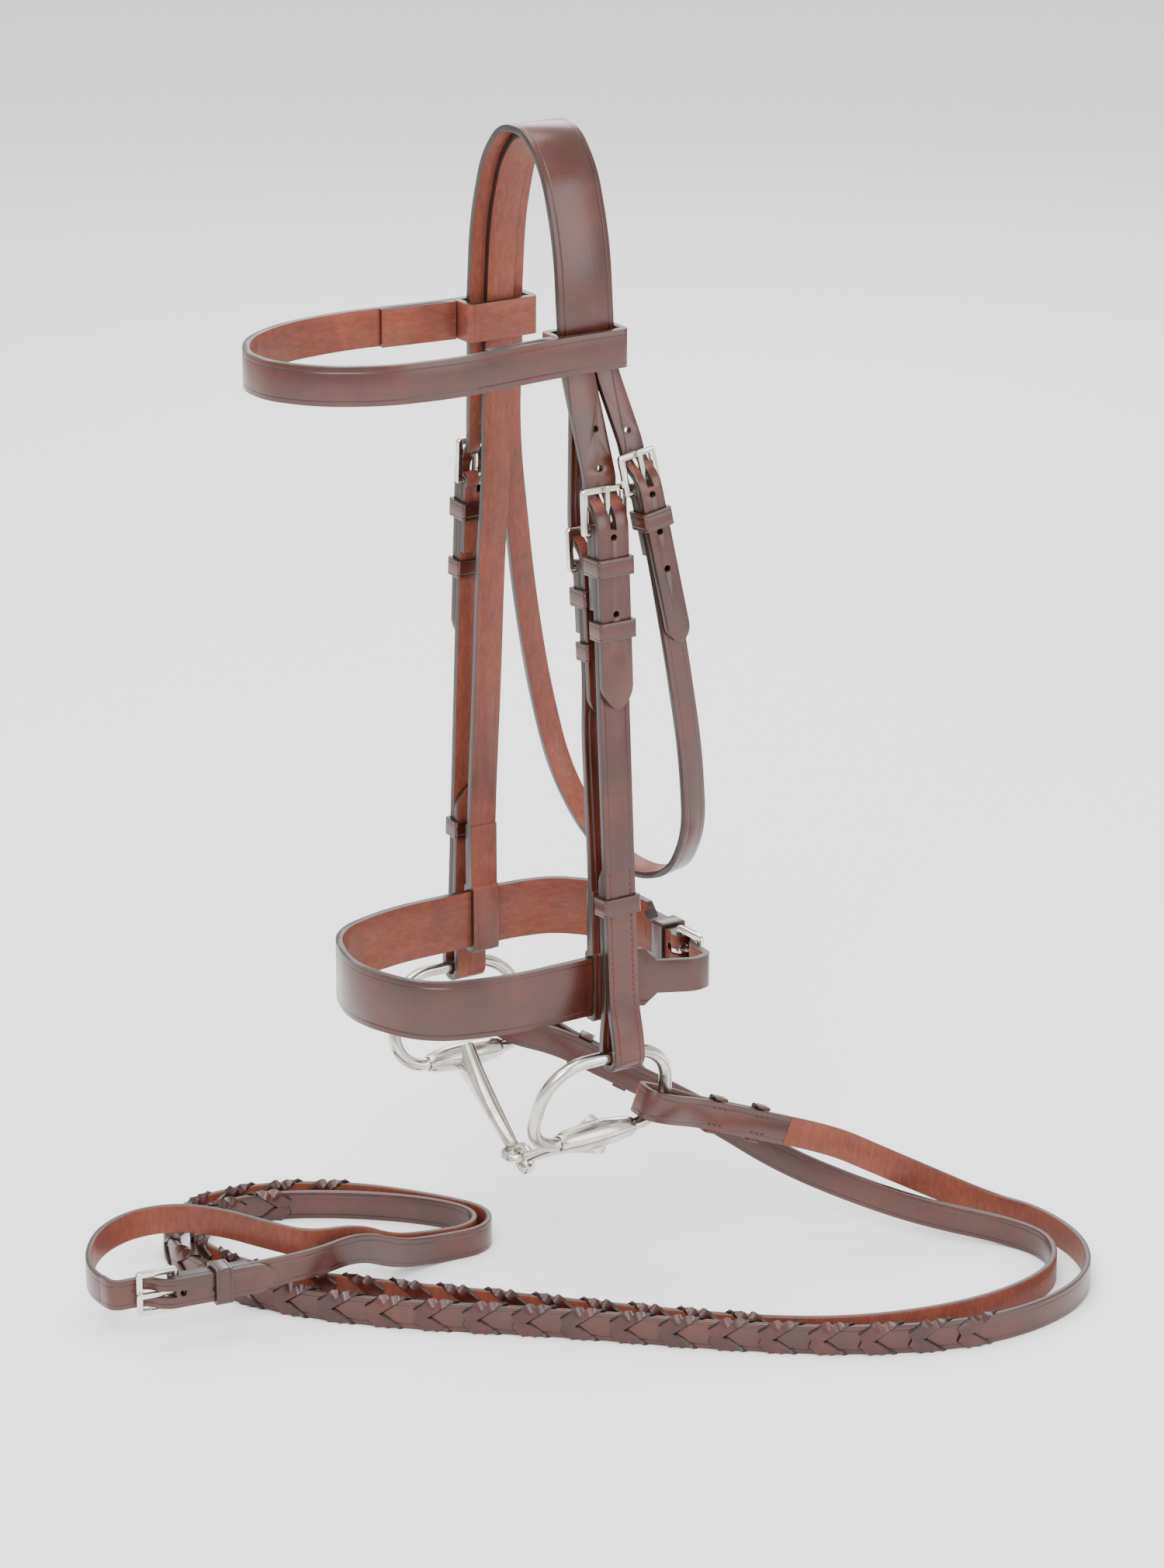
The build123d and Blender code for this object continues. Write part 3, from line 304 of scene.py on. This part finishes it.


# the second colour of each thread is its painted shade between the plies
redThread = threadMaterial("Waxed linen thread, oxblood", "#8a2f28", "#4c1512")
darkThread = threadMaterial("Waxed linen thread, dark brown", "#3a2018", "#1a0d09")
print("materials ready")


# reins: flat straps on edge, each along one smooth line from its bit ring; the route's points are millimetres
reins = {
    "width": 0.016,
    "thickness": 0.0032,
    "corner": 0.0007,
    "inset": 0.0027,
    "near": [
        (77.3, 106.8, -540.1), (79.9, 134.7, -550.9), (79, 166, -570), (83, 200, -590), (98, 229, -606),
        (130, 242, -606), (176, 237, -606), (212, 210, -606), (227, 166, -606), (223, 116, -606),
        (196, 62, -606), (150, 6, -606), (96, -50, -606), (45, -112, -606), (0, -154, -606),
        (-50, -178, -606), (-98, -180, -606), (-134, -152, -606), (-134, -104, -606), (-106, -58, -606),
        (-62, -25, -606), (-34, -12, -606), (-14, -26, -606), (-18, -56, -606), (-12, -84, -600),
        (-3, -113, -584), (6.8, -149.3, -583), (1.7, -182.9, -583),
    ],
    "far": [
        (-11, 80.7, -540.3), (11.7, 102.4, -553.3), (40, 129, -575), (70, 157, -589), (98, 186, -600),
        (132, 219, -606), (163, 224, -606), (192, 203, -606), (204, 165, -606), (203, 122, -606),
        (188, 72, -606), (158, 28, -606), (93, -36, -606), (56, -70, -606), (20, -106, -606),
        (-20, -141, -606), (-52, -162, -606), (-90, -167, -606), (-121, -145, -606), (-121, -107, -606),
        (-98, -68, -606), (-66, -34, -606), (-38, -19.5, -606), (-20.5, -31, -606), (-25, -57, -606),
        (-21, -84, -600), (-12, -110, -584), (-16, -137, -583), (-43, -150.5, -583),
        (-66, -160.5, -583), (-86, -177, -583), (-92, -202, -583), (-81, -228, -583), (-58, -247, -583),
        (-36, -256, -583), (-25.7, -255.1, -583),
    ],
}


def smoothLine(name, points):
    curve = bpy.data.curves.new(name + "Line", "CURVE")
    curve.dimensions = "3D"
    curve.resolution_u = 12
    spline = curve.splines.new("NURBS")
    spline.points.add(len(points) - 1)
    for knot, point in zip(spline.points, points):
        knot.co = (point[0] / 1000, point[1] / 1000, point[2] / 1000, 1)
    spline.order_u = 3
    spline.use_endpoint_u = True
    guide = bpy.data.objects.new(name + "Line", curve)
    bpy.context.scene.collection.objects.link(guide)
    bpy.context.view_layer.update()
    mesh = bpy.data.meshes.new_from_object(guide)
    path = [vertex.co.copy() for vertex in mesh.vertices]
    bpy.data.objects.remove(guide)
    bpy.data.meshes.remove(mesh)
    return path


def stationsOf(path):      # each point of a line with its distance, way, left side and up
    stations, distance = [], 0
    for index, point in enumerate(path):
        before, after = path[max(index - 1, 0)], path[min(index + 1, len(path) - 1)]
        way = (after - before).normalized()
        left = Vector((0, 0, 1)).cross(way).normalized()
        if index:
            distance += (point - path[index - 1]).length
        stations.append((distance, point, way, left, way.cross(left)))
    return stations


def stationAt(stations, distance):
    for first, second in zip(stations, stations[1:]):
        if second[0] >= distance:
            share = (distance - first[0]) / max(second[0] - first[0], 1e-9)
            return [one.lerp(two, share) for one, two in zip(first[1:], second[1:])]
    return stations[-1][1:]


def editAll(piece):      # edit mode, with this piece alone selected all over
    for selected in bpy.context.selected_objects:
        selected.select_set(False)
    bpy.context.view_layer.objects.active = piece
    piece.select_set(True)
    bpy.ops.object.mode_set(mode="EDIT")
    bpy.ops.mesh.select_all(action="SELECT")


def meshPiece(name, vertices, faces, sides=None, lines=None):
    mesh = bpy.data.meshes.new(name)
    mesh.from_pydata(vertices, [], faces)
    if sides:
        attribute = mesh.attributes.new("side", "FLOAT", "POINT")
        attribute.data.foreach_set("value", sides)
    if lines:
        layer = mesh.uv_layers.new(name="strap")
        for loop in mesh.loops:
            layer.data[loop.index].uv = lines[loop.vertex_index]
    mesh.validate()
    piece = bpy.data.objects.new(name, mesh)
    bpy.context.scene.collection.objects.link(piece)
    editAll(piece)
    bpy.ops.mesh.normals_make_consistent(inside=False)
    bpy.ops.object.mode_set(mode="OBJECT")
    bpy.ops.object.shade_smooth_by_angle(angle=radians(40))
    piece.select_set(False)
    return piece


def reinBand(name, stations, grainLeft):
    half, tall, corner = reins["thickness"] / 2, reins["width"] / 2, reins["corner"]
    outline = []
    for quarter, (a, h) in enumerate(((1, 1), (-1, 1), (-1, -1), (1, -1))):
        for step in range(4):
            angle = (quarter + step / 3) * pi / 2
            outline.append((
                a * (half - corner) + corner * cos(angle), h * (tall - corner) + corner * sin(angle)
            ))
        if quarter in (1, 3):
            outline.append((a * half, 0))
    vertices, sides, lines, faces = [], [], [], []
    for distance, point, way, left, up in stations:
        for a, h in outline:
            vertices.append(point + left * a + up * h)
            sides.append(a / half * grainLeft)
            lines.append((distance, h))
    count = len(outline)
    for ring in range(len(stations) - 1):
        for place in range(count):
            after = (place + 1) % count
            here, beyond = ring * count, (ring + 1) * count
            faces.append((here + place, here + after, beyond + after, beyond + place))
    faces.append(tuple(range(count - 1, -1, -1)))
    faces.append(tuple(range(len(vertices) - count, len(vertices))))
    return meshPiece(name, vertices, faces, sides, lines)


reinLeather = strapLeather(
    "Rein leather, waxed", {"line": "strap", "half": reins["width"] / 2, "inset": reins["inset"]}
)
laceLeather = laceLeatherMaterial()
reinLines = {side: stationsOf(smoothLine(side + "Rein", reins[side])) for side in ("near", "far")}
for side, grainLeft in (("near", 1), ("far", -1)):
    piece = reinBand(side + "ReinStrap", reinLines[side], grainLeft)
    piece.data.materials.append(reinLeather)
    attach(piece, "bridle")
    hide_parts(side + "_rein")
    print(side, "rein length", round(reinLines[side][-1][0], 4))

# laces: two a rein, from hole to hole round the upper and the lower edge
lacing = {
    "pitch": 0.026,
    "width": 0.0062,
    "thickness": 0.0011,
    "air": 0.0002,
    "corner": 0.0009,        # radius at which a lace turns over a strap's edge
    "standOff": 0.0005,      # how far its middle stands off the strap
    "steps": 22,
    # its own section, out and back: place across, height, whether it stands off, whether it is face
    "section": [
        (-1, 0, 1, 0), (-0.8, 1, 1, 1), (0, 1.15, 1, 1), (0.8, 1, 1, 1), (1, 0, 1, 0),
        (0.8, 0, 0, 0), (0, 0, 0, 0), (-0.8, 0, 0, 0),
    ],
    "near": (0.332, 0.957, -1),      # first hole, last hole, and the side that a lace leaves by
    "far": (0.452, 0.888, 1),
}


# where a lace lies on a strap's section, from the middle of one face to the middle of the other
def aroundStrap(share, lift):
    half, tall, corner = reins["thickness"] / 2, reins["width"] / 2, lacing["corner"]
    legs = (tall - corner, corner * pi / 2, 2 * (half - corner), corner * pi / 2, tall - corner)
    run = share * sum(legs)
    reach = corner + lift
    if run <= legs[0]:
        return half + lift, run
    run -= legs[0]
    if run <= legs[1]:
        angle = run / corner
        return half - corner + reach * cos(angle), tall - corner + reach * sin(angle)
    run -= legs[1]
    if run <= legs[2]:
        return half - corner - run, tall + lift
    run -= legs[2]
    if run <= legs[3]:
        angle = pi / 2 + run / corner
        return corner - half + reach * cos(angle), tall - corner + reach * sin(angle)
    run -= legs[3]
    return -half - lift, tall - corner - run


def lacePiece(name, stations, start, end, leaveSide):
    pitch, thickness, steps = lacing["pitch"], lacing["thickness"], lacing["steps"]
    vertices, sides, faces = [], [], []
    girth = reins["width"] + reins["thickness"]
    slant = pitch / girth
    ring = len(lacing["section"])
    for index in range(int((end - start) / pitch)):
        for edge in (1, -1):
            first = len(vertices)
            for step in range(steps + 1):
                share = step / steps
                distance = start + (index + share) * pitch
                standOff = lacing["standOff"] * sin(pi * min(share, 1 - share) * 2)
                for across, height, lifted, mark in lacing["section"]:
                    shift = across * lacing["width"] / 2
                    along = distance + shift / (1 + slant * slant) ** 0.5
                    around = min(max(share - shift * slant / girth, 0), 1)
                    point, way, left, up = stationAt(stations, along)
                    a, h = aroundStrap(around, lacing["air"] + thickness * height + standOff * lifted)
                    vertices.append(point + left * a * leaveSide + up * h * edge)
                    sides.append(mark)
            for base in range(first, first + steps * ring, ring):
                for place in range(ring):
                    after = (place + 1) % ring
                    faces.append((base + place, base + after, base + ring + after, base + ring + place))
            faces.append(tuple(range(first + ring - 1, first - 1, -1)))
            faces.append(tuple(range(len(vertices) - ring, len(vertices))))
    return meshPiece(name, vertices, faces, sides)


for side in ("near", "far"):
    piece = lacePiece(side + "ReinLace", reinLines[side], *lacing[side])
    piece.data.materials.append(laceLeather)
    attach(piece, "bridle")
    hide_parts(side + "_rein_laces")
print("reins and laces ready")


# the CAD straps and fittings, edges rounded as a maker rounds them
def softened(node, name, bevel, segments=2, sharp=35):
    piece = bpy.data.objects.new(name, nodes[node].data.copy())
    bpy.context.scene.collection.objects.link(piece)
    editAll(piece)
    bpy.ops.mesh.remove_doubles(threshold=0.000005)
    bpy.ops.mesh.dissolve_limited(angle_limit=radians(0.5))
    bpy.ops.object.mode_set(mode="OBJECT")
    rounding = piece.modifiers.new("Rounded edges", "BEVEL")
    rounding.width = bevel
    rounding.segments = segments
    rounding.limit_method = "ANGLE"
    rounding.angle_limit = radians(sharp)
    bpy.ops.object.modifier_apply(modifier=rounding.name)
    bpy.ops.object.shade_smooth_by_angle(angle=radians(sharp))
    piece.select_set(False)
    piece.data.materials.clear()
    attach(piece, bodyOf[node])
    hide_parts(node)
    return piece


def camel(node):
    words = node.split("_")
    return words[0] + "".join(word.capitalize() for word in words[1:])


# how each strap lies: the way across it, a point on its middle, half its width, and what it goes round
straps = {
    "headpiece": {
        "across": (0, 1, 0), "centre": (0, 0, 0), "half": 0.016, "core": (0, 0, -0.1), "round": (1, 0, 1)
    },
    "noseband_headstrap": {
        "across": (0, 1, 0), "centre": (0, 0, 0), "half": 0.008, "core": (0, 0, -0.1), "round": (1, 0, 1)
    },
    "noseband_headstrap_cheek": {
        "across": (0, 1, 0), "centre": (0, 0, 0), "half": 0.008, "core": (0, 0, 0), "round": (1, 0, 0)
    },
    "near_cheekpiece": {
        "across": (0, 1, 0), "centre": (0, 0, 0), "half": 0.009, "core": (0, 0, 0), "round": (1, 0, 0)
    },
    "far_cheekpiece": {
        "across": (0, 1, 0), "centre": (0, 0, 0), "half": 0.009, "core": (0, 0, 0), "round": (1, 0, 0)
    },
    "throatlash": {
        "across": (0, 0.98585, 0.16763), "centre": (0.0645, 0.020934, -0.17201), "half": 0.0065,
        "core": (0, 0, -0.2), "round": (1, 0, 1),
    },
    "browband": {
        "across": (0, 0, 1), "centre": (0, 0, -0.101), "half": 0.01,
        "core": (0, -0.03, 0), "round": (1, 1, 0),
        "fibres": (0.35, 0.35, 1),
    },
    "noseband": {
        "across": (0, 0, 1), "centre": (0, 0, -0.438), "half": 0.016,
        "core": (-0.005, -0.01, 0), "round": (1, 1, 0),
        "fibres": (0.35, 0.35, 1),
    },
    "near_rein_end": {
        "across": (0.03363, 0.35872, 0.93284), "centre": (0.06837, 0.03083, -0.51052), "half": 0.008,
        "core": (-0.9, 0.12, -0.5), "round": (1, 1, 0),
    },
    "far_rein_end": {
        "across": (0.27636, 0.26395, 0.9241), "centre": (-0.067, 0.02965, -0.50893), "half": 0.008,
        "core": (-0.75, 0.75, -0.5), "round": (1, 1, 0),
    },
    "rein_chape": {
        "across": (0, 0, 1), "centre": (0, 0, -0.583), "half": 0.008,
        "core": (-0.99, -0.07, 0), "round": (1, 1, 0)
    },
    "rein_billet": {
        "across": (0, 0, 1), "centre": (0, 0, -0.583), "half": 0.008,
        "core": (-0.99, -0.07, 0), "round": (1, 1, 0)
    },
}
keeperRound = {
    "near_cheek": (0, 0, 1), "far_cheek": (0, 0, 1), "throatlash": (0.0995, 0.1668, -0.98096),
    "headstrap": (0, 0, 1), "noseband": (1, 0, 0), "near_rein": (0.08707, 0.92877, -0.3603),
    "far_rein": (0.66827, 0.63826, -0.38215), "rein_keeper": (0.15, 0.98869, 0),
}
for node, slot in slotOf.items():
    if slot != "strap_leather":
        continue
    if node in straps:
        look = dict(straps[node], inset=0.0028)
    else:      # keepers: loops that run across the strap they hold
        along = next(way for start, way in keeperRound.items() if node.startswith(start))
        low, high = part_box(node)
        middle = tuple((low + high) / 2)
        look = {
            "across": along, "centre": middle, "half": 0.0045, "inset": 0.0013,
            "core": middle, "round": (1, 1, 1),
        }
    piece = softened(node, camel(node), 0.00045 if node in straps else 0.0004)
    piece.data.materials.append(strapLeather("Bridle leather, " + node.replace("_", " "), look))
metals = {      # each slot's finish, and how far its edges are rounded
    "nickel_plate": (nickelPlate, 0.0006),
    "hook_brass": (paleBrass, 0.0004),
    "polished_steel": (stainless, 0.0003),
}
for node, slot in slotOf.items():
    if slot in metals:
        metal, bevel = metals[slot]
        piece = softened(node, camel(node), bevel, 3)
        piece.data.materials.append(metal)
print("straps and fittings ready")


# stitches: one grain of thread, copied along each row and laid on the leather under it
stitching = {"pitch": 0.0034, "length": 0.0026, "thick": 0.0009}
bpy.ops.mesh.primitive_uv_sphere_add(segments=6, ring_count=4, radius=0.5, location=(0, 0, 0))
oneStitch = bpy.context.object
bpy.ops.object.mode_set(mode="EDIT")
bpy.ops.transform.resize(value=(stitching["length"], stitching["thick"], stitching["thick"]))
bpy.ops.object.mode_set(mode="OBJECT")
grain = [vertex.co.copy() for vertex in oneStitch.data.vertices]
grainFaces = [tuple(face.vertices) for face in oneStitch.data.polygons]
bpy.data.objects.remove(oneStitch)


def stitchRow(name, node, start, end, out, thread):
    start, end, out = Vector(start) / 1000, Vector(end) / 1000, Vector(out).normalized()
    mesh = nodes[node].data
    ground = BVHTree.FromPolygons([v.co for v in mesh.vertices], [face.vertices for face in mesh.polygons])
    vertices, faces = [], []
    for index in range(int((end - start).length / stitching["pitch"]) + 1):
        place = start + (end - start).normalized() * index * stitching["pitch"]
        hit, normal, face, distance = ground.ray_cast(place + out * 0.03, -out)
        if hit is None:
            continue
        way = (end - start) - normal * (end - start).dot(normal)
        way.normalize()
        side = normal.cross(way)
        first = len(vertices)
        vertices += [hit + way * point.x + side * point.y + normal * point.z for point in grain]
        faces += [tuple(first + corner for corner in face) for face in grainFaces]
    row = meshPiece(name, vertices, faces)
    row.data.materials.append(thread)
    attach(row, bodyOf[node])
    return row


def seatPoint(seat, along, across, out):
    return tuple(
        origin + along * x + across * y + out * z
        for origin, x, y, z in zip(seat["origin"], seat["along"], seat["across"], seat["out"])
    )


# millimetres: a strap's own directions where it is sewn
reinSeat = {
    "origin": (-7, -222, -583), "along": (0.15, 0.98869, 0), "across": (0, 0, 1), "out": (0.98869, -0.15, 0),
}
nearEndSeat = {
    "origin": (68.3726, 30.8284, -510.5224), "along": (0.08707, 0.92877, -0.3603),
    "across": (0.03363, 0.35872, 0.93284), "out": (0.99563, -0.09334, 0),
}
for side, sign in (("near", 1), ("far", -1)):
    for row, across in (("Front", -6.1), ("Back", 6.1)):
        stitchRow(
            side + "CheekStitches" + row, side + "_cheekpiece", (sign * 80, across, -372),
            (sign * 80, across, -468), (sign, 0, 0), redThread,
        )
    for row, across in (("Upper", 7.3), ("Lower", -7.3)):
        stitchRow(
            side + "BrowbandStitches" + row, "browband", (sign * 80, -30, -101 + across),
            (sign * 80, -74, -101 + across), (sign, 0, 0), redThread,
        )
for row, across in (("Upper", 4.6), ("Lower", -4.6)):
    stitchRow(
        "reinChapeStitches" + row, "rein_chape", seatPoint(reinSeat, 30, across, 8),
        seatPoint(reinSeat, 38, across, 8), reinSeat["out"], darkThread,
    )
    for place, along in (("Ring", 32), ("Strap", 60)):
        stitchRow(
            "nearReinEndStitches" + place + row, "near_rein_end", seatPoint(nearEndSeat, along, across, 8),
            seatPoint(nearEndSeat, along + 8, across, 8), nearEndSeat["out"], darkThread,
        )
print("stitches ready")


# stage: plain pale floor and soft studio light
floor = {"level": -0.6142, "size": 8.0, "colour": "#ffffff", "rough": 0.9}
bpy.ops.mesh.primitive_plane_add(size=floor["size"], location=(0, 0, floor["level"]))
studioFloor = bpy.context.object
studioFloor.name = "studioFloor"
paper, tree, shader = newMaterial("Matt white paper")
shader.inputs["Base Color"].default_value = toLinear(floor["colour"])
shader.inputs["Roughness"].default_value = floor["rough"]
studioFloor.data.materials.append(paper)
lamps = {      # place, size and power
    "keyLight": ((1.6, -1.6, 1.6), 1.4, 70.0),
    "fillLight": ((2.2, 0.9, 0.5), 1.6, 26.0),
    "topLight": ((-0.3, -0.3, 2.2), 2.4, 70.0),
    "rimLight": ((-1.8, 1.4, 0.9), 1.2, 20.0),
}
for name, (place, size, power) in lamps.items():
    bpy.ops.object.light_add(type="AREA", location=place)
    lamp = bpy.context.object
    lamp.name = name
    lamp.data.size = size
    lamp.data.energy = power
    lamp.rotation_euler = (Vector(place) - Vector((0, 0, -0.35))).to_track_quat("Z", "Y").to_euler()
world = bpy.data.worlds.new("Studio")
bpy.context.scene.world = world
world.use_nodes = True
world.node_tree.nodes["Background"].inputs["Color"].default_value = toLinear("#ffffff")
world.node_tree.nodes["Background"].inputs["Strength"].default_value = 1.15
print("studio ready")
